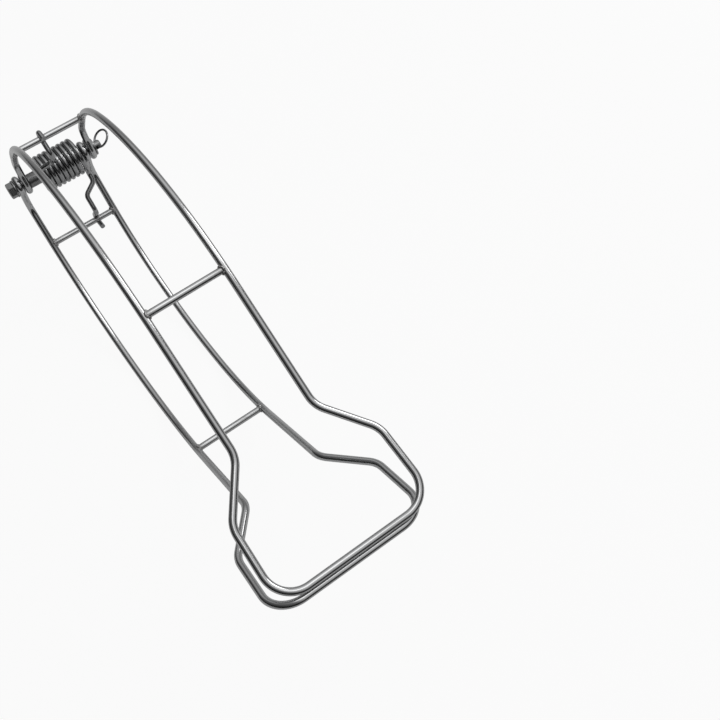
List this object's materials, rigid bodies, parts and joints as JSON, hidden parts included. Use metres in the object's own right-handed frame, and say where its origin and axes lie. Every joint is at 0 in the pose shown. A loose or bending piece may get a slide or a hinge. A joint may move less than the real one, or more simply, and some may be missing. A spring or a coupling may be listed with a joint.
{
  "type": "sprung wire jaws",
  "caption": "Bowed wire jaws hinged on one bolt and held shut by a torsion spring, each with cross rungs and a wide flared foot.",
  "frame": {"origin": "on the hinge bolt's axis, midway between the two legs of each jaw, with the jaws shut", "axes": "+X from the hinge towards the feet, +Y along the bolt from its head to its drilled end, +Z from the lower jaw to the upper jaw; the feet meet close to Z = 0"},
  "size_m": [0.4933, 0.139, 0.2436],
  "materials": {
    "plated_rod": "bright plated, lightly drawn",
    "bolt_steel": "zinc plated",
    "tube_steel": "satin plated",
    "spring_wire": "bright drawn",
    "ring_wire": "bright"
  },
  "bodies": {
    "lower_jaw": {"lower_jaw_frame": "plated_rod", "lower_hinge_rung": "plated_rod", "lower_middle_rung": "plated_rod", "hinge_bolt": "bolt_steel", "head_washer": "bolt_steel", "end_washer": "bolt_steel", "spacer_tube": "tube_steel", "torsion_spring": "spring_wire"},
    "upper_jaw": {"upper_jaw_frame": "plated_rod", "upper_hinge_rung": "plated_rod", "upper_middle_rung": "plated_rod"},
    "retaining_ring": {"retaining_ring": "ring_wire"}
  },
  "joints": [
    {"name": "jaw_opening", "type": "hinge", "parent": "lower_jaw", "child": "upper_jaw", "pos_m": [0, 0, 0], "axis": [0, -1, 0], "range_deg": [0, 75], "stiffness_Nm_per_rad": 5.5, "springref_deg": -14.9, "deforming": ["torsion_spring"]},
    {"name": "ring_swing", "type": "hinge", "parent": "lower_jaw", "child": "retaining_ring", "pos_m": [0, 0.04325, 0], "axis": [1, 0, 0], "range_deg": [-125, 55]}
  ]
}
